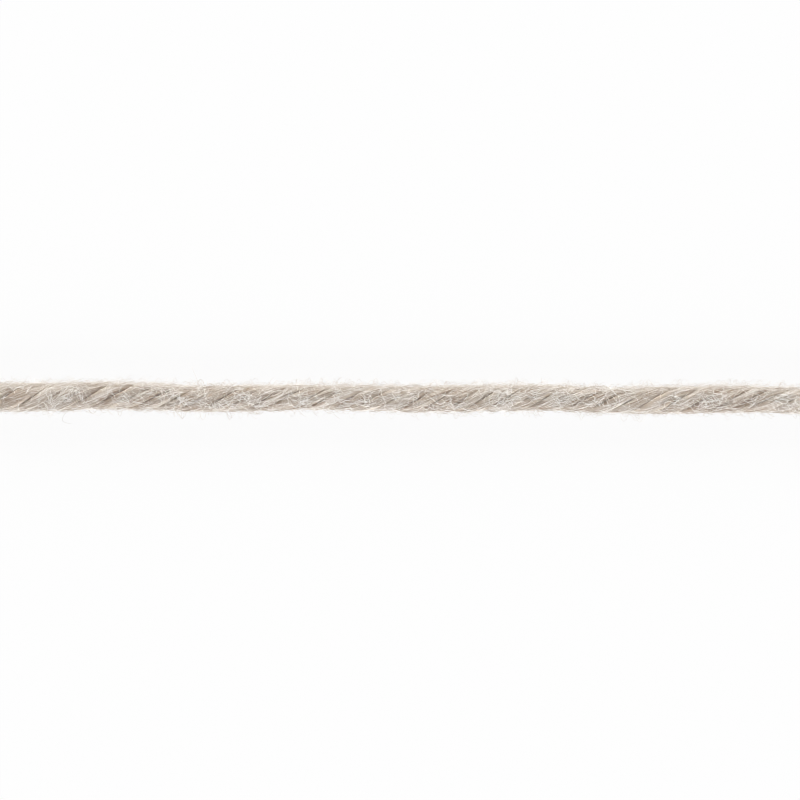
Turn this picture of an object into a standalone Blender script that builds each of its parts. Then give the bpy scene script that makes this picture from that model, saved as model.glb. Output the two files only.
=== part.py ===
"""A cut length of five-ply yarn, lying straight on a table.

Five soft singles are laid side by side and twisted together, S-wise, into one strand.
Metres, +Z up, the strand along X, its origin on the table under the middle of the strand.
"""

import math

import bmesh
import bpy
import numpy as np

MM = 0.001

# The strand
STRAND_LENGTH = 90 * MM
STRAND_DIAMETER = 2.5 * MM
PLY_COUNT = 5
TWIST_PITCH = 4.02 * STRAND_DIAMETER  # one whole turn of the plies
TWIST_HAND = -1  # S twist: the plies turn as a left-handed screw
FIRST_PLY_ANGLE = math.radians(254)  # about X, from +Y, at the middle of the strand
PLY_GAP = 0.08 * MM  # between the pressed sides of neighbouring plies
FLAT_DEPTH = 0.15 * MM  # how far the soft underside is flattened where it lies on the table

# One ply's cross-section, as shares of the strand's radius
PLY_CENTRE = 0.60  # from the strand's axis to the ply's
PLY_OUTWARD = 0.40  # half its thickness, outwards
PLY_SIDEWAYS = 0.42  # half its width, round the strand

# Each ply is spun a little thicker or thinner than the next.
PLY_BULK = {"ply_1": 1.02, "ply_2": 0.98, "ply_3": 1.00, "ply_4": 0.97, "ply_5": 1.01}

# How fine the faceted solids are
OUTLINE_POINTS = 10
SECTION_STEP = 0.95 * MM

# The strand's uneven run along X, in millimetres: where, how far it strays to +Y,
# how thick it is there against its nominal diameter, and how far its twist runs ahead, in degrees.
ROUTE_COLUMNS = ("along", "aside", "thickness", "twist_ahead")
ROUTE = np.array(
    [
        (-45.0, 0.00, 0.99, -14),
        (-40.5, -0.03, 1.03, -16),
        (-36.5, -0.03, 1.06, -18),
        (-32.0, 0.03, 1.08, -18),
        (-27.5, 0.16, 1.03, -12),
        (-23.0, 0.11, 1.02, -4),
        (-18.3, -0.07, 0.97, -4),
        (-13.7, 0.02, 0.99, -4),
        (-9.2, 0.09, 0.95, -2),
        (-4.6, 0.10, 0.96, 0),
        (0.0, 0.00, 0.98, 0),
        (4.6, 0.02, 1.00, -2),
        (9.2, 0.12, 0.98, 2),
        (13.7, 0.16, 0.98, 14),
        (18.3, 0.00, 0.98, 24),
        (22.9, -0.04, 1.03, 20),
        (27.5, 0.06, 1.05, 6),
        (32.0, 0.13, 1.01, -2),
        (36.5, 0.00, 1.00, -4),
        (40.5, -0.05, 1.01, -4),
        (45.0, 0.00, 0.98, -4),
    ]
)


def smooth_through(stations, values, at):
    """Values at the places in at, on a smooth curve through the stations' own values."""
    slopes = np.gradient(values, stations)
    i = np.clip(np.searchsorted(stations, at) - 1, 0, len(stations) - 2)
    span = stations[i + 1] - stations[i]
    t = (at - stations[i]) / span
    return (
        values[i] * (1 + 2 * t) * (1 - t) ** 2
        + slopes[i] * span * t * (1 - t) ** 2
        + values[i + 1] * t**2 * (3 - 2 * t)
        - slopes[i + 1] * span * t**2 * (1 - t)
    )


def strand_stations():
    """The strand's cross-sections: x, the axis's y and z, the radius and the twist, at even steps."""
    column = dict(zip(ROUTE_COLUMNS, ROUTE.T))
    steps = round(STRAND_LENGTH / SECTION_STEP)
    x = np.linspace(-STRAND_LENGTH / 2, STRAND_LENGTH / 2, steps + 1)
    where = x / MM
    aside = smooth_through(column["along"], column["aside"], where) * MM
    radius = smooth_through(column["along"], column["thickness"], where) * STRAND_DIAMETER / 2
    ahead = np.radians(smooth_through(column["along"], column["twist_ahead"], where))
    twist = TWIST_HAND * (2 * math.pi * x / TWIST_PITCH + ahead)
    height = radius - FLAT_DEPTH
    return np.column_stack([x, aside, height, radius, twist])


def ply_outline(radius, bulk):
    """Points round a ply in its own section: outwards from the strand, and sideways round it.

    An oval, cut straight where it presses against its neighbours on both sides.
    """
    centre = PLY_CENTRE * radius
    outward = PLY_OUTWARD * radius * bulk
    sideways = PLY_SIDEWAYS * radius * bulk
    half_share = math.pi / PLY_COUNT
    to_side = centre * math.sin(half_share) - PLY_GAP / 2
    around = 2 * math.pi * (np.arange(OUTLINE_POINTS) + 0.5) / OUTLINE_POINTS
    u, v = np.cos(around), np.sin(around)
    oval = 1 / np.hypot(u / outward, v / sideways)
    facing_side = np.abs(v) * math.cos(half_share) - u * math.sin(half_share)
    pressed = np.where(facing_side > 1e-6, to_side / np.maximum(facing_side, 1e-6), np.inf)
    reach = np.minimum(oval, pressed)
    return centre + u * reach, v * reach


def ply_sections(number, bulk):
    """The ply's outline at each station, turned with the twist and flattened on the table."""
    sections = []
    for x, axis_y, axis_z, radius, twist in strand_stations():
        out, side = ply_outline(radius, bulk)
        angle = FIRST_PLY_ANGLE + 2 * math.pi * number / PLY_COUNT + twist
        y = axis_y + out * math.cos(angle) - side * math.sin(angle)
        z = axis_z + out * math.sin(angle) + side * math.cos(angle)
        sections.append(np.column_stack([np.full_like(y, x), y, np.maximum(z, 0)]))
    return sections


def skin(name, sections):
    """One closed mesh over the sections, with a flat cut at each end.

    Every four-cornered patch is split so that its diagonal leans outwards along the strand:
    the pressed sides of two neighbouring plies then lie parallel.
    """
    bm = bmesh.new()
    loops = [[bm.verts.new(point) for point in section] for section in sections]
    for near, far in zip(loops, loops[1:]):
        for j in range(OUTLINE_POINTS):
            k = (j + 1) % OUTLINE_POINTS
            if j < OUTLINE_POINTS / 2:
                bm.faces.new((near[j], near[k], far[j]))
                bm.faces.new((near[k], far[k], far[j]))
            else:
                bm.faces.new((near[j], near[k], far[k]))
                bm.faces.new((near[j], far[k], far[j]))
    bm.faces.new(reversed(loops[0]))
    bm.faces.new(loops[-1])
    bmesh.ops.recalc_face_normals(bm, faces=bm.faces)
    mesh = bpy.data.meshes.new(name)
    bm.to_mesh(mesh)
    bm.free()
    mesh.shade_smooth()
    mesh.set_sharp_from_angle(angle=math.radians(60))
    return mesh


def yarn_material():
    """Undyed-looking greige fibre: matt, with a soft sheen."""
    material = bpy.data.materials.new("greige_fibre")
    material.use_nodes = True
    shader = material.node_tree.nodes["Principled BSDF"]
    shader.inputs["Base Color"].default_value = (0.62, 0.55, 0.48, 1)
    shader.inputs["Roughness"].default_value = 0.9
    shader.inputs["Metallic"].default_value = 0
    shader.inputs["Sheen Weight"].default_value = 0.4
    return material


def centre_over_origin(plies):
    """Shifts the plies together so that the strand's box is centred over the origin."""
    corners = np.array([vertex.co for ply in plies for vertex in ply.data.vertices])
    middle = (corners.min(axis=0) + corners.max(axis=0)) / 2
    for ply in plies:
        ply.location = (-middle[0], -middle[1], 0)


def build():
    for leftover in list(bpy.data.objects):
        bpy.data.objects.remove(leftover)
    strand = bpy.data.objects.new("strand", None)
    bpy.context.scene.collection.objects.link(strand)
    material = yarn_material()
    plies = []
    for number, (name, bulk) in enumerate(PLY_BULK.items()):
        ply = bpy.data.objects.new(name, skin(name, ply_sections(number, bulk)))
        ply.data.materials.append(material)
        ply.parent = strand
        bpy.context.scene.collection.objects.link(ply)
        plies.append(ply)
    centre_over_origin(plies)


build()
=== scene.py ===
import math

import bpy
import numpy as np
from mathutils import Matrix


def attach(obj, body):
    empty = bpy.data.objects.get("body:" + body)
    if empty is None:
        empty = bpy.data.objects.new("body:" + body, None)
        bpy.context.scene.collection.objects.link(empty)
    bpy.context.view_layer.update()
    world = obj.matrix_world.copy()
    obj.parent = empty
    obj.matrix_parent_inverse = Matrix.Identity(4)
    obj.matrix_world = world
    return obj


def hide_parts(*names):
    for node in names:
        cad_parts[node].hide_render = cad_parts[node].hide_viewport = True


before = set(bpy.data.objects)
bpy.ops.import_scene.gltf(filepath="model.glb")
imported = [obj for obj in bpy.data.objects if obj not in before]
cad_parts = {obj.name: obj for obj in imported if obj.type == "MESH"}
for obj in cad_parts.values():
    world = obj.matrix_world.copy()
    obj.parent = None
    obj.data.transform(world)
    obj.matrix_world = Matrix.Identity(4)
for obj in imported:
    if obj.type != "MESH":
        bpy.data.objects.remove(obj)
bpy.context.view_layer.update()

# Lengths are in mm and angles in radians where no note says otherwise; meshes are in metres.
mm = 0.001
fullTurn = 2 * math.pi
scene = bpy.context.scene
scene.view_settings.view_transform = "Standard"
scene.view_settings.look = "None"
scene.cycles.filter_width = 1.0  # crisp enough for single fibres to show

# The camera looks straight down on the yarn, which leaves the view at both sides.
shot = {
    "width": 73.3,  # of yarn in view
    "height": 1.2,  # above the floor at which that width is met
    "lens": 135.0,
    "sensor": 36.0,
    "roll": 0.25,  # degrees; the yarn sinks a little to the right
    "below": 0.093,  # how far to -Y of the yarn's line the camera stands
}


def makeCamera():
    data = bpy.data.cameras.new("yarnCamera")
    data.lens, data.sensor_width = shot["lens"], shot["sensor"]
    data.clip_start, data.clip_end = 0.01, 20  # metres
    camera = bpy.data.objects.new("yarnCamera", data)
    scene.collection.objects.link(camera)
    away = shot["width"] * shot["lens"] / shot["sensor"]
    camera.location = (0, -shot["below"] * mm, (shot["height"] + away) * mm)
    camera.rotation_euler = (0, 0, math.radians(shot["roll"]))
    scene.camera = camera


makeCamera()
print("camera placed")

# Another seed gives other fibres of the same kind; a ply's own number is added to these.
seeds = {"swell": 40, "tone": 80, "skin": 100, "locks": 300, "fineLocks": 310, "streaks": 320}

# The strand: five plies turned together as a left-handed screw, lying along X.
strand = {
    "length": 90.0,
    "diameter": 2.5,
    "plies": 5,
    "pitch": 4.02 * 2.5,  # one whole turn of the plies, about four diameters
    "hand": -1,  # 1 would turn it the other way
    "flatDepth": 0.15,  # pressed off the underside by the table
    "middle": 0.0376,  # the route's own middle lies this far to +Y of the object's
    # shares of the strand's radius: where a ply's centre lies, how far it reaches outwards and
    # to its sides, and where its fibres crest; the soft fibres fill the rest
    "plyCentre": 0.57,
    "plyOutward": 0.32,
    "plySideways": 0.452,
    "crest": 0.92,
    "crowding": 0.8,  # how closely a ply's width follows the room between its grooves
    "plainGroove": 0.9,  # a groove of this depth leaves a ply as wide as it is
    "grooveCut": 0.13,  # how much narrower a ply is beside a groove deeper by 1
    "corner": 8,  # how sharply a ply's round skin turns into its pressed side
    "swell": 0.06,  # how unevenly thick the plies are
    "swellWaves": (7, 19.0, 2.6),  # how many waves, the longest and the shortest
    "toneWaves": (7, 24.0, 2.4),  # the same for how pale a ply is along its length
}
radius = strand["diameter"] / 2
half = strand["length"] / 2
turnRate = strand["hand"] * fullTurn / strand["pitch"]
evenShare = math.pi / strand["plies"]

# The uneven run: place along X, stray to +Y, thickness as a share of the diameter.
route = np.array([
    (-45.0, 0.00, 0.99), (-40.5, -0.03, 1.03), (-36.5, -0.03, 1.06), (-32.0, 0.03, 1.08),
    (-27.5, 0.16, 1.03), (-23.0, 0.11, 1.02), (-18.3, -0.07, 0.97), (-13.7, 0.02, 0.99),
    (-9.2, 0.09, 0.95), (-4.6, 0.10, 0.96), (0.0, 0.00, 0.98), (4.6, 0.02, 1.00),
    (9.2, 0.12, 0.98), (13.7, 0.16, 0.98), (18.3, 0.00, 0.98), (22.9, -0.04, 1.03),
    (27.5, 0.06, 1.05), (32.0, 0.13, 1.01), (36.5, 0.00, 1.00), (40.5, -0.05, 1.01),
    (45.0, 0.00, 0.98),
])

# The grooves between plies: where each crosses the top of the yarn, and its depth.
grooves = np.array([
    (-46.3, 0.8), (-44.3, 0.9), (-42.3, 0.8), (-40.3, 0.9), (-38.3, 0.8), (-36.3, 1.3),
    (-33.7, 0.8), (-31.8, 0.9), (-30.2, 1.1), (-28.5, 1.1), (-26.4, 1.4), (-24.4, 0.7),
    (-22.5, 1.5), (-20.5, 0.7), (-18.4, 1.1), (-16.4, 1.2), (-14.3, 0.8), (-12.2, 1.5),
    (-10.5, 1.0), (-8.3, 0.6), (-6.6, 1.4), (-4.6, 1.0), (-2.6, 0.7), (-0.5, 0.5),
    (1.6, 1.2), (3.7, 1.1), (5.8, 1.1), (7.5, 0.9), (9.6, 0.9), (11.6, 0.6), (13.3, 0.9),
    (15.0, 0.6), (16.8, 0.9), (18.9, 1.1), (21.0, 0.5), (22.8, 0.8), (25.3, 0.8),
    (27.7, 1.5), (30.3, 1.0), (31.9, 1.4), (33.5, 1.0), (35.7, 0.9), (37.8, 0.8),
    (39.8, 0.9), (41.9, 0.7), (43.9, 0.9), (45.9, 0.8),
])


def smoothLine(stations, values, x):
    # a smooth curve through the values given at the stations
    slopes = np.gradient(values, stations)
    x = np.clip(x, stations[0], stations[-1])
    i = np.clip(np.searchsorted(stations, x) - 1, 0, len(stations) - 2)
    span = stations[i + 1] - stations[i]
    t = (x - stations[i]) / span
    return (
        values[i] * (1 + 2 * t) * (1 - t) ** 2
        + slopes[i] * span * t * (1 - t) ** 2
        + values[i + 1] * t**2 * (3 - 2 * t)
        - slopes[i + 1] * span * t**2 * (1 - t)
    )


def strandAt(x):
    # the axis's y and z, and the strand's radius at x
    thick = smoothLine(route[:, 0], route[:, 2], x) * radius
    aside = smoothLine(route[:, 0], route[:, 1], x) - strand["middle"]
    return aside, thick - strand["flatDepth"], thick


def grooveAt(edge, x):
    # the angle about X of the groove before ply number edge, and its depth
    turns, k = divmod(edge, strand["plies"])
    own = grooves[k :: strand["plies"]]
    top = math.pi / 2 + fullTurn * strand["hand"] * np.arange(len(own))
    even = smoothLine(own[:, 0], top - turnRate * own[:, 0], x) + turnRate * x
    return even + fullTurn * turns, smoothLine(own[:, 0], own[:, 1], x)


def waves(seed, count, longest, shortest):
    # a smooth uneven line, as a function of one length, about 1 high
    rng = np.random.default_rng(seed)
    rates = fullTurn / np.geomspace(longest, shortest, count)
    starts = rng.uniform(0, fullTurn, count)
    sizes = rng.uniform(0.5, 1, count) / math.sqrt(count / 3)

    def at(x):
        return sum(s * np.sin(r * x + p) for r, p, s in zip(rates, starts, sizes))

    return at


plyNumbers = range(strand["plies"])
plySwell = [waves(seeds["swell"] + n, *strand["swellWaves"]) for n in plyNumbers]
plyTone = [waves(seeds["tone"] + n, *strand["toneWaves"]) for n in plyNumbers]


def plyShare(ply, x):
    # the way a ply faces, half the angle that it fills, and the depths of its two grooves
    low, lowDepth = grooveAt(ply, x)
    high, highDepth = grooveAt(ply + 1, x)
    return (low + high) / 2, (high - low) / 2, lowDepth, highDepth


def plyOval(ply, x, thick):
    # a ply's reach outwards, and its reach to either side
    _, share, lowDepth, highDepth = plyShare(ply, x)
    bulk = 1 + strand["swell"] * plySwell[ply](x)
    wide = strand["plySideways"] * (share / evenShare) ** strand["crowding"] * bulk
    low, high = (
        wide * (1 - strand["grooveCut"] * (depth - strand["plainGroove"]))
        for depth in (lowDepth, highDepth)
    )
    return strand["plyOutward"] * thick * bulk, low * thick, high * thick


def plySurface(ply, x, around, lift):
    # points on a ply's skin: around is the angle in its own section, 0 facing outwards
    axisY, axisZ, thick = strandAt(x)
    angle, share, _, _ = plyShare(ply, x)
    outward, lowSide, highSide = plyOval(ply, x, thick)
    centre = strand["plyCentre"] * thick
    u, v = np.cos(around), np.sin(around)
    # outwards the ply is an oval, and inwards it fills the wedge down to the axis
    reachU, reachV = np.where(u > 0, outward, centre), np.where(v > 0, highSide, lowSide)
    oval = 1 / np.hypot(u / reachU, v / reachV)
    facing = np.abs(v) * np.cos(share) - u * np.sin(share)
    tiny, far = 1e-6, 99.0
    wall = centre * np.sin(share) / np.maximum(facing, tiny)
    pressed = np.where(facing > tiny, wall, far)
    # the soft corner between the round skin and the pressed side
    sharp = strand["corner"]
    reach = ((oval + lift) ** -sharp + pressed**-sharp) ** (-1 / sharp)
    out, across = centre + u * reach, v * reach
    y = axisY + out * np.cos(angle) - across * np.sin(angle)
    z = axisZ + out * np.sin(angle) + across * np.cos(angle)
    return np.stack(np.broadcast_arrays(x, y, z), axis=-1)


def strandSkin(x, angle):
    # how far the plies' outside lies from the axis, in the direction angle
    _, _, thick = strandAt(x)
    skin = np.zeros_like(x)
    centre = strand["plyCentre"] * thick
    overlap = 1.02  # neighbours overlap a little, so that no gap is left between them
    for ply in plyNumbers:
        facing, share, _, _ = plyShare(ply, x)
        outward, lowSide, highSide = plyOval(ply, x, thick)
        off = np.mod(angle - facing + math.pi, fullTurn) - math.pi
        sideways = np.where(off > 0, highSide, lowSide)
        # where a line from the axis leaves the ply's oval
        top = (np.cos(off) / outward) ** 2 + (np.sin(off) / sideways) ** 2
        mid = centre * np.cos(off) / outward**2
        low = (centre / outward) ** 2 - 1
        here = (mid + np.sqrt(np.maximum(mid**2 - top * low, 0))) / top
        skin = np.where(np.abs(off) <= share * overlap, np.maximum(skin, here), skin)
    return skin


def linear(code):
    # an sRGB hex colour as linear red, green, blue and alpha
    parts = [int(code[i : i + 2], 16) / 255 for i in (1, 3, 5)]
    return [p / 12.92 if p <= 0.04045 else ((p + 0.055) / 1.055) ** 2.4 for p in parts] + [1]


def addNode(tree, kind, settings=None, values=None, links=None):
    # one node: its own settings, its sockets' values, and (node, output) links into sockets
    node = tree.nodes.new(kind)
    for name, value in (settings or {}).items():
        setattr(node, name, value)
    for name, value in (values or {}).items():
        node.inputs[name].default_value = value
    for name, (source, output) in (links or {}).items():
        tree.links.new(source.outputs[output], node.inputs[name])
    return node


def setRamp(node, stops):
    ramp = node.color_ramp
    while len(ramp.elements) < len(stops):
        ramp.elements.new(0.5)
    for element, (place, code) in zip(ramp.elements, stops):
        element.position, element.color = place, linear(code)


# Spun cotton, undyed greige: the imported staple is matt, and light soaks a little way into it,
# so it looks paler along the edges. Its warm dark end carries the painted shade of the grooves
# and of the skin under the tufts.
spunCotton = {
    "stops": [(0.0, "#AC9A89"), (0.4, "#C8BBAD"), (0.7, "#DBD2C7"), (1.0, "#EAE4DC")],
    "roughness": 0.8,
    "sheen": 0.3,
    "sheenRoughness": 0.45,
    "ior": 1.54,  # cotton lies within 1.53 to 1.58
    "soak": 0.35,  # how far light travels between the packed fibres
    "soakColour": (1.0, 0.9, 0.8),  # red the furthest
    "streakLength": 1.8,  # one fibre's visible run along the ply
    "streakWidth": 0.07,  # three fibres side by side; single ones are too fine to show
    "streakTone": 0.5,
    "bump": 0.4,
    "bumpHeight": 0.02,  # one fibre's thickness
}
# Single staple fibres on a ply's skin: the same cotton, too thin for light to soak into.
cottonStaple = dict(
    spunCotton, soak=0, bump=0.1, streakTone=0.2,
    stops=[(0.0, "#A18B75"), (0.5, "#C4B8AA"), (1.0, "#F5F0E9")],
)
# Loose staple: the same cotton, painted paler as painted light, for the light it catches all
# round where it stands clear of the locks.
looseStaplePaintedLight = dict(
    cottonStaple, stops=[(0.0, "#D8CCBD"), (0.5, "#EEE6DC"), (1.0, "#FFFCF7")],
)


def makeFibreMaterial(name, kind):
    material = bpy.data.materials.new(name)
    material.use_nodes = True
    tree = material.node_tree
    tree.nodes.clear()
    # streaks that run with the fibres, from each mesh's own grain
    grain = addNode(tree, "ShaderNodeAttribute", {"attribute_name": "grain"})
    along, across = (1 / kind[key] for key in ("streakLength", "streakWidth"))
    stretched = addNode(
        tree, "ShaderNodeMapping", values={"Scale": (along, across, 1)},
        links={"Vector": (grain, "Vector")},
    )
    streaks = addNode(
        tree, "ShaderNodeTexNoise", values={"Scale": 1.0, "Detail": 2.0, "Roughness": 0.5},
        links={"Vector": (stretched, "Vector")},
    )
    # the mesh's own tone, made paler and darker by the streaks, picks the colour
    tone = addNode(tree, "ShaderNodeAttribute", {"attribute_name": "tone"})
    centred = addNode(
        tree, "ShaderNodeMath", {"operation": "MULTIPLY_ADD"},
        {1: kind["streakTone"], 2: -kind["streakTone"] / 2}, {0: (streaks, "Fac")},
    )
    blend = addNode(
        tree, "ShaderNodeMath", {"operation": "ADD", "use_clamp": True},
        links={0: (tone, "Fac"), 1: (centred, "Value")},
    )
    ramp = addNode(tree, "ShaderNodeValToRGB", links={"Fac": (blend, "Value")})
    setRamp(ramp, kind["stops"])
    relief = addNode(
        tree, "ShaderNodeBump",
        values={"Strength": kind["bump"], "Distance": kind["bumpHeight"] * mm},
        links={"Height": (streaks, "Fac")},
    )
    soft = {}
    if kind["soak"]:
        soft = {
            "Subsurface Weight": 1.0, "Subsurface Radius": kind["soakColour"],
            "Subsurface Scale": kind["soak"] * mm,
        }
    shader = addNode(
        tree, "ShaderNodeBsdfPrincipled",
        values={
            "Roughness": kind["roughness"], "IOR": kind["ior"],
            "Sheen Weight": kind["sheen"], "Sheen Roughness": kind["sheenRoughness"], **soft,
        },
        links={"Base Color": (ramp, "Color"), "Normal": (relief, "Normal")},
    )
    addNode(tree, "ShaderNodeOutputMaterial", links={"Surface": (shader, "BSDF")})
    return material


spun = makeFibreMaterial("spunCotton", spunCotton)
staple = makeFibreMaterial("cottonStaple", cottonStaple)
paleStaplePaintedLight = makeFibreMaterial("looseCottonStaplePaintedLight", looseStaplePaintedLight)
print("materials made")


def meshFrom(name, points, corners, sizes, tones, grain, material):
    # points in mm; corners and sizes list the faces; tones is each point's lightness,
    # and grain its place along and across the fibres, in mm
    mesh = bpy.data.meshes.new(name)
    mesh.vertices.add(len(points))
    mesh.vertices.foreach_set("co", (points * mm).astype(np.float32).ravel())
    mesh.loops.add(len(corners))
    mesh.loops.foreach_set("vertex_index", corners.astype(np.int32))
    mesh.polygons.add(len(sizes))
    starts = np.concatenate([[0], np.cumsum(sizes)[:-1]])
    mesh.polygons.foreach_set("loop_start", starts.astype(np.int32))
    mesh.update(calc_edges=True)
    mesh.validate()
    mesh.shade_smooth()
    tone = mesh.attributes.new("tone", "FLOAT", "POINT")
    tone.data.foreach_set("value", tones.astype(np.float32))
    run = mesh.attributes.new("grain", "FLOAT_VECTOR", "POINT")
    run.data.foreach_set("vector", grain.astype(np.float32).ravel())
    mesh.materials.append(material)
    piece = bpy.data.objects.new(name, mesh)
    scene.collection.objects.link(piece)
    return piece


tube = {
    "sides": 3,
    "tip": 0.4,  # a fibre's thickness at its tips, as a share of its own
    "taper": 3,  # how fast it fills out from there
    "lowest": 0.004,  # nothing goes below this height
    "anyWay": (0.31, 0.47, 0.83),  # a direction that hardly any fibre runs in
}


def unit(vectors):
    return vectors / (np.linalg.norm(vectors, axis=-1, keepdims=True) + 1e-9)


def tubeRings(paths, thick):
    # the corners round each point of each path
    fibres, steps, _ = paths.shape
    turn = fullTurn * np.arange(tube["sides"]) / tube["sides"]
    along = unit(np.gradient(paths, axis=1))
    fromTip = np.minimum(np.arange(steps), np.arange(steps)[::-1])
    taper = np.minimum(1, tube["tip"] + tube["taper"] * fromTip / steps)
    rings = np.empty((fibres, steps, tube["sides"], 3))
    normal = np.cross(along[:, 0], tube["anyWay"])
    for i in range(steps):
        normal = unit(normal - (normal * along[:, i]).sum(1, keepdims=True) * along[:, i])
        other = np.cross(along[:, i], normal)
        rings[:, i] = paths[:, i, None] + (thick / 2 * taper[i])[:, None, None] * (
            np.cos(turn)[None, :, None] * normal[:, None]
            + np.sin(turn)[None, :, None] * other[:, None]
        )
    return rings


def tubeFaces(first, fibres, steps):
    # the corner numbers of the tubes' sides, four to a face, and of their closed ends
    index = first + np.arange(fibres * steps * tube["sides"])
    index = index.reshape(fibres, steps, tube["sides"])
    ahead = np.roll(index, -1, axis=2)
    sides = np.stack([index[:, :-1], ahead[:, :-1], ahead[:, 1:], index[:, 1:]], axis=-1)
    return sides, np.stack([index[:, 0, ::-1], index[:, -1]], axis=1)


def tubeFacing(paths, rings, roundness):
    # Light passes through such thin fibres, so they shade partly as the yarn's own skin does
    # under them; roundness is the share of their own round shape.
    axisY, axisZ, _ = strandAt(paths[..., 0])
    outward = unit(paths - np.stack([paths[..., 0], axisY, axisZ], axis=-1))
    own = unit(rings - paths[:, :, None])
    return unit(outward[:, :, None] * (1 - roundness) + own * roundness)


def fibreMesh(name, groups, material, roundness):
    # one mesh of thin tubes; each group is (paths, thicknesses, tones), and its paths all
    # have the same number of points
    sides = tube["sides"]
    points, corners, sizes, lightness, grain, facing = [], [], [], [], [], []
    count = 0
    for paths, thick, tones in groups:
        fibres, steps, _ = paths.shape
        rings = tubeRings(paths, thick)
        points.append(rings.reshape(-1, 3))
        facing.append(tubeFacing(paths, rings, roundness).reshape(-1, 3))
        walls, ends = tubeFaces(count, fibres, steps)
        corners += [walls.ravel(), ends.ravel()]
        sizes += [np.full(walls.size // 4, 4), np.full(ends.size // sides, sides)]
        if tones.ndim == 1:
            tones = np.repeat(tones[:, None], steps, axis=1)
        lightness.append(np.repeat(tones.ravel(), sides))
        travelled = np.linalg.norm(np.diff(paths, axis=1, prepend=paths[:, :1]), axis=2)
        run = np.broadcast_arrays(
            travelled.cumsum(axis=1)[..., None],
            np.arange(fibres)[:, None, None],
            np.zeros(sides),
        )
        grain.append(np.stack(run, axis=-1).reshape(-1, 3))
        count += fibres * steps * sides
    points = np.concatenate(points)
    points[:, 2] = np.maximum(points[:, 2], tube["lowest"])
    faces = np.concatenate(corners), np.concatenate(sizes)
    finish = np.concatenate(lightness), np.concatenate(grain)
    piece = meshFrom(name, points, *faces, *finish, material)
    facing = np.concatenate(facing).astype(np.float32)
    piece.data.normals_split_custom_set_from_vertices(facing)
    return piece


# The five plies.
plyBody = {
    "step": 0.16,
    "around": 28,  # points round a ply
    "closer": 0.35,  # how much closer together they stand where it shows
    "locks": 22,  # soft ridges round a ply, one for each lock of fibres
    "lockLength": 1.5,
    "lockDepth": 0.018,
    "fineLocks": 0.5,  # the height of a second, finer set, as a share of the first
    "streaks": 36,  # finer streaks within the locks, each a few fibres wide
    "streakLength": 2.4,
    "streakDepth": 0.010,
    "flank": (0.45, 0.6),  # where a ply's flank starts, from its crest, and how wide it is
    "spill": 0.03,  # how far locks spill over the grooves or fall short of them
    "hollow": 0.08,  # how deep the skin is parted under a tuft of loose fibres
    "sunk": 0.01,  # the solid heart of a ply lies this far under its fibres
    "lean": 25.0,  # degrees the fibres lie from the yarn's own line at a ply's crest
    "tone": 0.58,  # 0 is the warm end of its colours and 1 the pale end
    "streaky": 0.08,
    "lockTone": 0.5,  # how much the locks show in the streaks' tone
    "uneven": 0.07,
    "paintedShade": 0.4,  # how much darker and warmer it is painted in a groove or under a tuft, as painted shade
}
# Painted shade towards the grooves, on the plies and on their skin fibres:
grooveShade = {
    "flank": (0.42, 0.8),  # where it starts, from a ply's crest, and how wide it is
    "strength": 0.9,
    "contrast": 1.5,  # how far the deep grooves outdo the shallow ones
    "range": (0.25, 1.35),  # the least and the most that a groove's depth gives
}
# A ply's own spin turns its fibres back towards the yarn's line.
spin = strand["crest"] * radius * abs(turnRate) - math.tan(math.radians(plyBody["lean"]))
spin /= strand["plyOutward"] * radius


def fibreNoise(seed, drift, x, count, length):
    # smooth uneven ridges that run with the fibres, count of them round a ply, each this
    # long; drift is the angle from one fibre's own line
    rng = np.random.default_rng(seed)
    spare = 2  # rows of the table beyond each end of the strand
    table = rng.normal(0, 1, (int(strand["length"] / length) + 3 * spare, count))
    p = (x + half) / length + spare
    q = drift / fullTurn * count
    p0, q0 = np.floor(p).astype(int), np.floor(q).astype(int)
    s, t = p - p0, q - q0
    s, t = s * s * (3 - 2 * s), t * t * (3 - 2 * t)

    def at(i, j):
        return table[np.clip(i, 0, len(table) - 1), np.mod(j, count)]

    return (
        at(p0, q0) * (1 - s) * (1 - t) + at(p0 + 1, q0) * s * (1 - t)
        + at(p0, q0 + 1) * (1 - s) * t + at(p0 + 1, q0 + 1) * s * t
    )


# Tufts of loose fibres on top: place along X, place across, length, width, fibres.
tufts = np.array([
    (-31.6, 0.1, 0.9, 0.7, 34), (-29.6, 0.3, 0.9, 0.5, 34), (-32.6, -0.9, 0.6, 0.3, 8),
    (-26.6, 0.1, 0.4, 0.5, 7), (-24.8, 0.1, 0.9, 0.7, 24), (-23.4, 0.7, 0.7, 0.3, 10),
    (-21.2, 0.6, 0.7, 0.4, 16), (-20.4, 0.1, 0.6, 0.5, 16), (-18.2, 0.8, 0.5, 0.4, 10),
    (-19.2, -0.5, 0.8, 0.5, 12), (-16.8, -0.5, 1.1, 0.6, 26), (-14.4, 0.1, 0.9, 0.7, 34),
    (-12.6, 0.2, 0.7, 0.6, 12), (-9.1, -0.1, 1.0, 0.8, 36), (-5.7, 0.1, 0.5, 0.8, 22),
    (-3.4, -0.1, 0.7, 0.6, 18), (-1.9, 0.2, 0.9, 0.8, 18), (0.1, 0.6, 0.5, 0.6, 12),
    (1.3, 0.3, 0.4, 0.6, 8), (4.6, -0.1, 1.0, 0.6, 22), (9.6, 0.2, 1.3, 0.8, 60),
    (12.0, 0.2, 0.8, 0.5, 14), (14.6, 0.0, 1.5, 0.7, 52), (19.2, 0.1, 1.2, 0.8, 40),
    (24.9, 0.0, 0.5, 0.7, 12), (25.6, 0.2, 0.5, 0.8, 8), (28.6, -0.2, 1.5, 0.8, 46),
    (32.3, 0.2, 0.6, 0.5, 8), (35.3, -0.1, 1.5, 0.7, 44), (39.0, 0.0, 1.5, 0.8, 30),
    (-39.0, 0.1, 1.5, 0.8, 30), (43.0, 0.0, 1.0, 0.8, 16), (-43.0, 0.0, 1.0, 0.8, 16),
])
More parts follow.
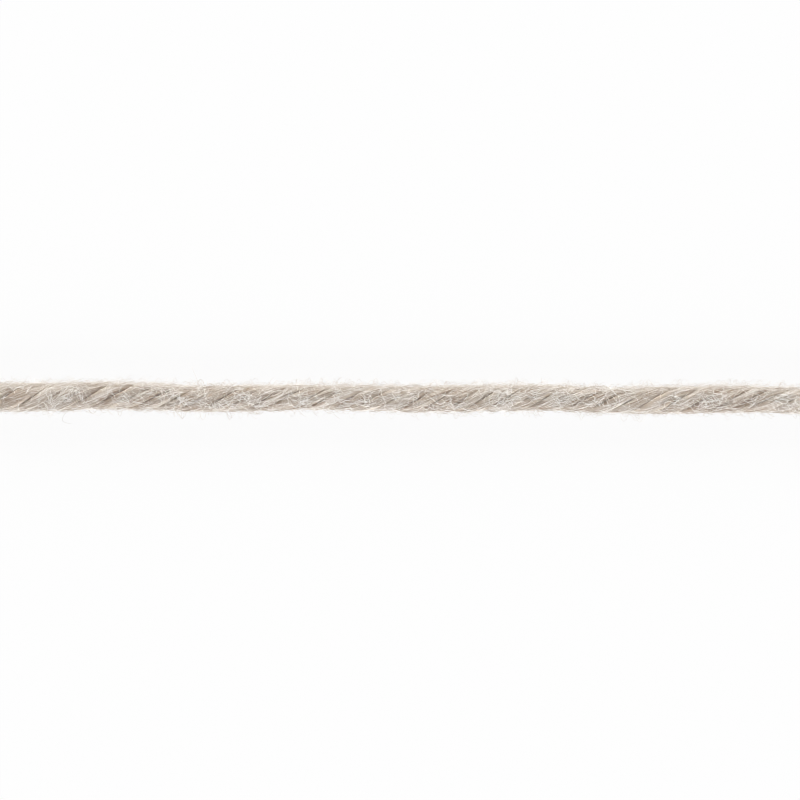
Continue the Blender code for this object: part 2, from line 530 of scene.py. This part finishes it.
tuftSpread = {
    "seed": 203,
    "partedAndShaded": 0.55,  # how far a tuft parts the skin under it and paints shade there, as a share of its size
    "along": 0.7,  # how far its fibres scatter, as shares of its length and width
    "across": 0.65,
    "edge": 0.98,  # none lies further to a side than this share of the yarn's crest
    "seen": 0.7,  # fibres made on top for each one listed
    "hidden": 0.5,  # and for the tuft's twin elsewhere round the yarn
    "shift": 1.5,  # how far along the yarn that twin strays
}


def tuftShare(points):
    # how far a place on top lies within a tuft, 0 to 1: the skin is parted there and painted
    # darker as shade
    share = np.zeros(points.shape[:-1])
    for x, across, length, width, _ in tufts:
        along = (points[..., 0] - x) / (tuftSpread["partedAndShaded"] * length)
        aside = (points[..., 1] - across) / (tuftSpread["partedAndShaded"] * width)
        share = np.maximum(share, np.exp(-(along**2) - aside**2))
    return share * (points[..., 2] > radius)


def flankShare(around, start, width):
    # 0 on a ply's crest, 1 down in the groove
    return np.clip((np.abs(around) - start) / width, 0, 1)


def plyRelief(ply, x, around):
    # how far the locks lift a ply's skin, and how pale its streaks are, about -1 to 1
    drift = around - spin * x

    def ridges(kind, count, length):
        return fibreNoise(seeds[kind] + ply, drift, x, count, length)

    locks = ridges("locks", plyBody["locks"], plyBody["lockLength"])
    fine = ridges("fineLocks", 2 * plyBody["locks"], plyBody["lockLength"])
    locks = locks + plyBody["fineLocks"] * fine
    streaks = ridges("streaks", plyBody["streaks"], plyBody["streakLength"])
    lift = plyBody["lockDepth"] + plyBody["spill"] * flankShare(around, *plyBody["flank"])
    lift = lift * locks + plyBody["streakDepth"] * streaks
    return lift, plyBody["lockTone"] * locks + streaks


def paintedGrooveShade(ply, x, around):
    # how much painted shade a place on a ply's skin gets from the groove beside it, the more
    # the deeper it lies and the deeper the groove
    _, _, lowDepth, highDepth = plyShare(ply, x)
    depth = np.where(around > 0, highDepth, lowDepth)
    shade = grooveShade["strength"] * depth ** grooveShade["contrast"]
    return flankShare(around, *grooveShade["flank"]) * np.clip(shade, *grooveShade["range"])


def makePly(ply):
    x = np.linspace(-half, half, round(strand["length"] / plyBody["step"]) + 1)
    turn = fullTurn * (np.arange(plyBody["around"]) + 0.5) / plyBody["around"] - math.pi
    around = turn - plyBody["closer"] * np.sin(turn)
    gridX, gridA = np.meshgrid(x, around, indexing="ij")
    drift = gridA - spin * gridX
    lift, streaks = plyRelief(ply, gridX, gridA)
    partedAndShaded = tuftShare(plySurface(ply, gridX, gridA, 0))
    skin = plySurface(ply, gridX, gridA, lift - plyBody["sunk"] - plyBody["hollow"] * partedAndShaded)
    skin[..., 2] = np.maximum(skin[..., 2], 0)
    index = np.arange(gridX.size).reshape(gridX.shape)
    ahead = np.roll(index, -1, axis=1)
    sides = np.stack([index[:-1], ahead[:-1], ahead[1:], index[1:]], axis=-1)
    corners = [sides.ravel(), index[0, ::-1], index[-1]]
    sizes = [np.full(sides.size // 4, 4), [len(around)], [len(around)]]
    # the tone is painted darker and warmer as shade in the grooves and under the tufts; the
    # streaks and the unevenness along the ply are the cotton's own
    tones = (
        plyBody["tone"] + plyBody["streaky"] * streaks + plyBody["uneven"] * plyTone[ply](gridX)
        - plyBody["paintedShade"] * np.maximum(paintedGrooveShade(ply, gridX, gridA), partedAndShaded)
    )
    across = drift * strand["plyOutward"] * radius
    grain = np.stack([gridX, across, np.full_like(gridX, 3 * ply)], axis=-1)
    return meshFrom(
        f"yarnPly{ply + 1}", skin.reshape(-1, 3), np.concatenate(corners),
        np.concatenate(sizes), np.clip(tones, 0, 1).ravel(), grain.reshape(-1, 3), spun,
    )


plies = [makePly(ply) for ply in plyNumbers]
print("plies made")

# The fibres on each ply's skin. Real staple is half as thick: it is drawn two fibres thick,
# and with fewer fibres, so that single ones show.
skinFibre = {
    "perPly": 2000,
    "points": 6,
    "sweep": 2.2,  # how far round its ply a fibre shows before it dives in
    "shorter": (0.5, 1.05),  # the shares of that which single fibres reach
    "stray": 0.4,  # how far from the crest their middles stray
    "thickness": (0.028, 0.046),
    "bed": (-0.02, 0.01),  # most fibres lie packed side by side in this layer
    "proud": 0.08,  # the share that stands clear of it, ever fewer the higher
    "rise": 0.05,
    "highest": 0.22,
    "dive": 0.08,  # how deep both tips dive in
    "wobble": 0.05,  # how unevenly a fibre goes round
    "waver": 0.005,  # and how unevenly high it lies
    "lockSize": 8,  # fibres that run together
    "lockStray": 0.15,  # how far a lock and a single fibre lie from their even places
    "ownStray": 0.06,
    "lockLift": 0.012,
    "spread": 0.32,  # how unevenly they lean
    "lockLean": 0.7,  # how much of that a whole lock shares
    "ownLean": 0.7,  # and how much is one fibre's own
    "leanRange": (-0.7, 0.9),
    "past": (-0.1, 0.25),  # how far tips reach past the cut ends, or fall short of them
    "tone": 0.5,
    "lockTone": 0.04,
    "ownTone": 0.7,
    "uneven": 0.07,
    "streaky": 0.08,
    "paintedShade": 0.36,  # how much darker and warmer they are painted deep in a groove, as painted shade
    "paintedTuftShade": 0.5,  # and how much darker they are painted under a tuft of loose fibres, as painted shade
    "low": 0.55,  # below this height they lie against the table, out of sight
    "under": 0.45,  # the share made of those
    "roundness": 0.65,
}


def makeSkinFibres(ply):
    rng = np.random.default_rng(seeds["skin"] + ply)
    count, steps = skinFibre["perPly"], skinFibre["points"]
    locks = count // skinFibre["lockSize"]
    lockOf = np.sort(rng.integers(0, locks, count))
    lockX = np.linspace(-half, half, locks) + rng.normal(0, skinFibre["lockStray"], locks)
    lockTone, lockLift, lockLean = rng.normal(0, 1, (3, locks))
    # each fibre's middle lies between its lock's place and its own even place along the
    # yarn; rate is how fast it goes round its ply
    middle = 0.5 * lockX[lockOf] + 0.5 * np.linspace(-half, half, count)
    middle += rng.normal(0, skinFibre["ownStray"], count)
    lean = skinFibre["lockLean"] * lockLean[lockOf]
    lean = skinFibre["spread"] * (lean + skinFibre["ownLean"] * rng.normal(0, 1, count))
    rate = spin * (1 + lean.clip(*skinFibre["leanRange"]))
    sweep = skinFibre["sweep"] * rng.uniform(*skinFibre["shorter"], count)
    # the strand is cut square, so no fibre runs far past its ends
    room = half - sweep / rate / 2 + rng.uniform(*skinFibre["past"], count)
    middle = np.clip(middle, -room, room)
    t = np.linspace(-0.5, 0.5, steps)
    around = sweep[:, None] * t + rng.normal(0, skinFibre["stray"], count)[:, None]
    x = middle[:, None] + sweep[:, None] * t / rate[:, None]
    wobble = rng.normal(0, skinFibre["wobble"], (count, steps)).cumsum(axis=1)
    around = around + wobble - wobble.mean(axis=1, keepdims=True)
    # how high it lies
    lift = rng.uniform(*skinFibre["bed"], count) + skinFibre["lockLift"] * lockLift[lockOf]
    proud = rng.uniform(0, 1, count) < skinFibre["proud"]
    rise = rng.exponential(skinFibre["rise"], count).clip(0, skinFibre["highest"])
    lift = lift + proud * rise
    waver = rng.normal(0, skinFibre["waver"], (count, steps)).cumsum(axis=1)
    onLock, streaks = plyRelief(ply, x, around)
    lift = lift[:, None] + onLock - skinFibre["dive"] * (2 * np.abs(t)) ** 4 + waver
    partedAndShaded = tuftShare(plySurface(ply, x, around, 0))
    paths = plySurface(ply, x, around, lift - plyBody["hollow"] * partedAndShaded)
    thick = rng.uniform(*skinFibre["thickness"], count)
    # how pale it is
    tones = skinFibre["tone"] + skinFibre["lockTone"] * lockTone[lockOf]
    tones = tones + skinFibre["ownTone"] * rng.normal(0, 1, count)
    tones = tones + skinFibre["uneven"] * plyTone[ply](middle)
    tones = tones[:, None] + skinFibre["streaky"] * streaks
    # painted shade: darker and warmer deep in a groove and under a tuft
    paintedGroove = skinFibre["paintedShade"] * paintedGrooveShade(ply, x, around)
    tones = np.clip(tones - np.maximum(paintedGroove, skinFibre["paintedTuftShade"] * partedAndShaded), 0, 1)
    keep = paths[:, steps // 2, 2] > skinFibre["low"]
    keep = keep | (rng.uniform(0, 1, count) < skinFibre["under"])
    group = (paths[keep], thick[keep], tones[keep])
    return fibreMesh(f"plyFibres{ply + 1}", [group], staple, skinFibre["roundness"])


fibrePieces = [makeSkinFibres(ply) for ply in plyNumbers]
print("skin fibres made")

# Each kind of loose fibre: how many, the points and step of its path, how it curls, how far
# it stands off the skin, how far it bridges the grooves (0 follows them, 1 crosses them from
# crest to crest), its thickness, the share with a free end, its lean in degrees (None for
# any way), how pale it is, how many run together, and its crimp.
looseKinds = {
    "bridging": {
        "seed": 200, "count": 500, "points": 8, "step": 0.30, "curl": 0.16,
        "stand": (-0.05, 0.015), "bridge": (0.0, 0.5), "thickness": (0.026, 0.041),
        "free": 0.0, "lean": (-20, 9), "tone": 0.5, "together": 3,
    },
    "crossing": {
        "seed": 201, "count": 1700, "points": 10, "step": 0.17, "curl": 0.3,
        "stand": (0.02, 0.04), "bridge": (0.6, 1.0), "thickness": (0.028, 0.042),
        "free": 0.0, "lean": None, "tone": 1.0, "crimp": 0.35,
    },
    "tufted": {
        "seed": 202, "points": 12, "step": 0.12, "curl": 0.45,
        "stand": (0.04, 0.05), "bridge": (0.7, 1.0), "thickness": (0.036, 0.05),
        "free": 0.0, "lean": None, "tone": 1.0, "crimp": 0.35,
    },
    "nap": {
        "seed": 209, "count": 3800, "points": 5, "step": 0.22, "curl": 0.5,
        "stand": (0.0, 0.06), "bridge": (0.1, 0.9), "thickness": (0.022, 0.036),
        "free": 0.3, "lean": (-24, 46), "tone": 0.5,
    },
    # the combed fringe along the sides is painted paler, as painted light coming through these
    # edge fibres from the glowing sheet
    "combed": {
        "seed": 216, "points": 5, "step": 0.22, "curl": 0.28,
        "stand": (0.03, 0.2), "bridge": (0.6, 1.0), "thickness": (0.015, 0.026),
        "free": 0.3, "lean": (-20, 35), "tone": 0.7,
    },
    "fuzz": {
        "seed": 210, "count": 1200, "points": 6, "step": 0.16, "curl": 0.35,
        "stand": (-0.02, 0.1), "bridge": (0.2, 1.0), "thickness": (0.018, 0.03),
        "free": 0.4, "lean": None, "tone": 0.55,
    },
    "loops": {
        "seed": 211, "count": 30, "points": 13, "step": 0.2, "curl": 0.55,
        "stand": (0.1, 0.16), "bridge": (0.6, 1.0), "thickness": (0.014, 0.022),
        "free": 0.5, "lean": None, "tone": 0.6,
    },
    "strays": {
        "seed": 212, "count": 26, "points": 14, "step": 0.18, "curl": 0.6,
        "stand": (0.35, 0.5), "bridge": (0.6, 1.0), "thickness": (0.012, 0.02),
        "free": 0.7, "lean": None, "tone": 0.6,
    },
}
# What all of them share.
looseHabit = {
    "gather": (0.25, 0.06),  # how far those that run together lie apart, along and round
    "leanApart": 0.06,
    "keepsBend": 0.88,  # how much of its bend a fibre carries on to its next point
    "newBend": 0.4,  # and how much is new there, as a share of its curl
    "bendRate": 2.2,  # how far a bend of 1 turns it in each mm
    "crimpRate": 7,  # how fast the crimp waves along it
    "highest": 4,  # no fibre stands off the skin more than this many times its kind's rise
    "fullness": 0.7,  # below 1 an arch is squarer than a sine
    "root": 0.05,  # how deep a fibre's fixed ends lie in the skin
    "past": 0.3,  # how far it may reach past the cut ends
    "under": 0.08,  # and how far under the table, before it is left out
    "clear": 0.01,  # the others lie this far above the table
    "uneven": 0.2,  # how far single fibres differ in how pale they are
}


def looseGroup(kind, spots):
    # spots, where given, lists each fibre's place along X and angle about it
    rng = np.random.default_rng(kind["seed"])
    steps, step = kind["points"], kind["step"]
    if spots is None:
        count = kind["count"]
        x, angle = rng.uniform(-half, half, count), rng.uniform(0, fullTurn, count)
    else:
        count = len(spots)
        x, angle = spots.T
    # fibres that run together start side by side, from the first one's place
    together = kind.get("together", 1)
    leader = np.arange(count) // together * together
    if together > 1:
        apartX, apartAngle = looseHabit["gather"]
        x = x[leader] + rng.normal(0, apartX, count)
        angle = angle[leader] + rng.normal(0, apartAngle, count)
    # the curl, carried on from point to point
    bend = np.zeros((count, steps))
    bend[:, 0] = rng.normal(0, kind["curl"], count)
    for i in range(1, steps):
        fresh = rng.normal(0, looseHabit["newBend"] * kind["curl"], count)
        bend[:, i] = looseHabit["keepsBend"] * bend[:, i - 1] + fresh
    if kind["lean"]:
        lean = np.radians(rng.normal(*kind["lean"], count))
        if together > 1:
            lean = lean[leader] + rng.normal(0, looseHabit["leanApart"], count)
    else:
        lean = rng.uniform(0, fullTurn, count)
    crimp = rng.uniform(0, fullTurn, count)[:, None]
    crimp = crimp + np.arange(steps) * step * looseHabit["crimpRate"]
    heading = lean[:, None] + (bend * step * looseHabit["bendRate"]).cumsum(axis=1)
    heading = heading + kind.get("crimp", 0) * np.sin(crimp)
    # the path over the skin
    runX = (np.cos(heading) * step).cumsum(axis=1)
    runAngle = (np.sin(heading) * step).cumsum(axis=1) / radius
    x = x[:, None] + runX - runX.mean(axis=1, keepdims=True)
    angle = angle[:, None] + runAngle - runAngle.mean(axis=1, keepdims=True)
    axisY, axisZ, thick = strandAt(x)
    crest = (strand["plyCentre"] + strand["plyOutward"]) * thick
    bridge = rng.uniform(*kind["bridge"], count)[:, None]
    skin = strandSkin(x, angle) * (1 - bridge) + crest * bridge
    # and how far it stands off it: in an arch, or rising to a free end
    low, rise = kind["stand"]
    stand = rng.exponential(rise, count).clip(0, looseHabit["highest"] * rise)
    stand = low + stand[:, None]
    t = np.linspace(0, 1, steps)[None]
    arch, away = np.sin(math.pi * t) ** looseHabit["fullness"], np.sin(math.pi / 2 * t)
    free = (rng.uniform(0, 1, count) < kind["free"])[:, None]
    rises = np.where(free, away, arch)
    reach = skin + (stand * rises - looseHabit["root"] * (1 - rises))
    y = axisY + reach * np.cos(angle)
    z = axisZ + reach * np.sin(angle)
    keep = np.abs(x).max(axis=1) < half + looseHabit["past"]
    keep = keep & (z.min(axis=1) > -looseHabit["under"])
    paths = np.stack([x, y, z], axis=-1)[keep]
    sizes = rng.uniform(*kind["thickness"], count)[keep]
    paths[..., 2] = np.maximum(paths[..., 2], sizes[:, None] / 2 + looseHabit["clear"])
    tones = kind["tone"] + looseHabit["uneven"] * rng.normal(0, 1, count)
    return paths, sizes, np.clip(tones, 0, 1)[keep]


# The combed fringe: both sides are brushed up, the +Y side more than the other.
combedSides = {
    "seed": 215,
    "sides": ((0.1, 5800), (math.pi - 0.1, 1300)),  # angle about the yarn, fibres
    "spread": 0.4,
}


def combedSpots():
    rng = np.random.default_rng(combedSides["seed"])
    spread = combedSides["spread"]
    angles = [rng.normal(middle, spread, count) for middle, count in combedSides["sides"]]
    angle = np.concatenate(angles)
    return np.stack([rng.uniform(-half, half, len(angle)), angle], axis=1)


def tuftSpots():
    # the tufts as listed, and a twin of each at random on the other sides
    rng = np.random.default_rng(tuftSpread["seed"])
    edge = tuftSpread["edge"]
    spots = []
    for x, across, length, width, count in tufts:
        scatter = (tuftSpread["along"] * length, tuftSpread["across"] * width)
        places = rng.normal((x, across), scatter, (round(count * tuftSpread["seen"]), 2))
        aside = places[:, 1] / (strand["crest"] * radius)
        angle = np.arccos(aside.clip(-edge, edge))
        spots.append(np.stack([places[:, 0], angle], axis=1))
        turned = rng.uniform(math.pi, fullTurn)
        moved = x + rng.normal(0, tuftSpread["shift"])
        hidden = round(count * tuftSpread["hidden"])
        spots.append(rng.normal((moved, turned), scatter, (hidden, 2)))
    return np.concatenate(spots)


# Each loose piece: its kinds of fibre, its material, and its fibres' roundness.
loosePieces = [
    ("bridgingFibres", ("bridging",), staple, 0.35),
    # crossing and tufted fibres take the palest tones of the painted-light colours
    ("crossingFibres", ("crossing", "tufted"), paleStaplePaintedLight, 0.5),
    ("napFibres", ("nap",), staple, 0.5),
    ("combedFringe", ("combed",), staple, 0.5),
    ("strayFuzz", ("fuzz", "loops", "strays"), staple, 0.5),
]
placed = {"tufted": tuftSpots(), "combed": combedSpots()}
for name, kinds, material, roundness in loosePieces:
    groups = [looseGroup(looseKinds[kind], placed.get(kind)) for kind in kinds]
    fibrePieces.append(fibreMesh(name, groups, material, roundness))
print("loose fibres made")

for piece in (*plies, *fibrePieces):
    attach(piece, "root")
for number, ply in enumerate(plies, 1):
    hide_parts(f"ply_{number}")

# The plies and loose fibres above make the whole strand, one limp cord cut bare at both ends.
print("strand made")

# A white sheet lit from below, two long low lights along the yarn's sides and a dim sky:
# the sides of the yarn come out pale and its top darker, with hardly any shadow.
studio = {
    "floorSize": 4.0,  # metres
    "floorGlow": 0.92,
    "floorMatt": 0.06,
    "zenith": 0.26,
    "horizon": 1.25,
    "boxes": [
        # name, colour, watts, place in metres, size in metres
        ("warmBox", "#FFFEFD", 6.7, (0, 0.6, 0.22), (1.2, 0.3)),
        ("coolBox", "#FBFCFF", 6.2, (0, -0.6, 0.22), (1.2, 0.3)),
    ],
}


def makeFloor():
    edge = studio["floorSize"] / 2
    mesh = bpy.data.meshes.new("floor")
    corners = [(-edge, -edge, 0), (edge, -edge, 0), (edge, edge, 0), (-edge, edge, 0)]
    mesh.from_pydata(corners, [], [(0, 1, 2, 3)])
    material = bpy.data.materials.new("whiteLightSheet")
    material.use_nodes = True
    tree = material.node_tree
    tree.nodes.clear()
    shader = addNode(
        tree, "ShaderNodeBsdfPrincipled",
        values={
            "Base Color": (studio["floorMatt"],) * 3 + (1,), "Roughness": 1.0,
            "Specular IOR Level": 0.0, "Emission Color": (1, 1, 1, 1),
            "Emission Strength": studio["floorGlow"],
        },
    )
    addNode(tree, "ShaderNodeOutputMaterial", links={"Surface": (shader, "BSDF")})
    mesh.materials.append(material)
    floor = bpy.data.objects.new("floor", mesh)
    scene.collection.objects.link(floor)


def makeWorld():
    world = bpy.data.worlds.new("studio")
    scene.world = world
    world.use_nodes = True
    tree = world.node_tree
    tree.nodes.clear()
    place = addNode(tree, "ShaderNodeTexCoord")
    split = addNode(tree, "ShaderNodeSeparateXYZ", links={"Vector": (place, "Generated")})
    level = addNode(
        tree, "ShaderNodeMapRange",
        values={"To Min": studio["horizon"], "To Max": studio["zenith"]},
        links={"Value": (split, "Z")},
    )
    back = addNode(tree, "ShaderNodeBackground", links={"Strength": (level, "Result")})
    addNode(tree, "ShaderNodeOutputWorld", links={"Surface": (back, "Background")})


def makeBoxes():
    for name, colour, watts, place, size in studio["boxes"]:
        data = bpy.data.lights.new(name, "AREA")
        data.shape, data.size, data.size_y = "RECTANGLE", size[0], size[1]
        data.color, data.energy = linear(colour)[:3], watts
        lamp = bpy.data.objects.new(name, data)
        lamp.location = place
        # turned to face the yarn's middle
        aimX, aimY, aimZ = -np.array(place)
        tilt = math.atan2(math.hypot(aimX, aimY), -aimZ)
        lamp.rotation_euler = (tilt, 0, math.atan2(aimY, aimX) - math.pi / 2)
        scene.collection.objects.link(lamp)


makeFloor()
makeWorld()
makeBoxes()
print("floor and light made")
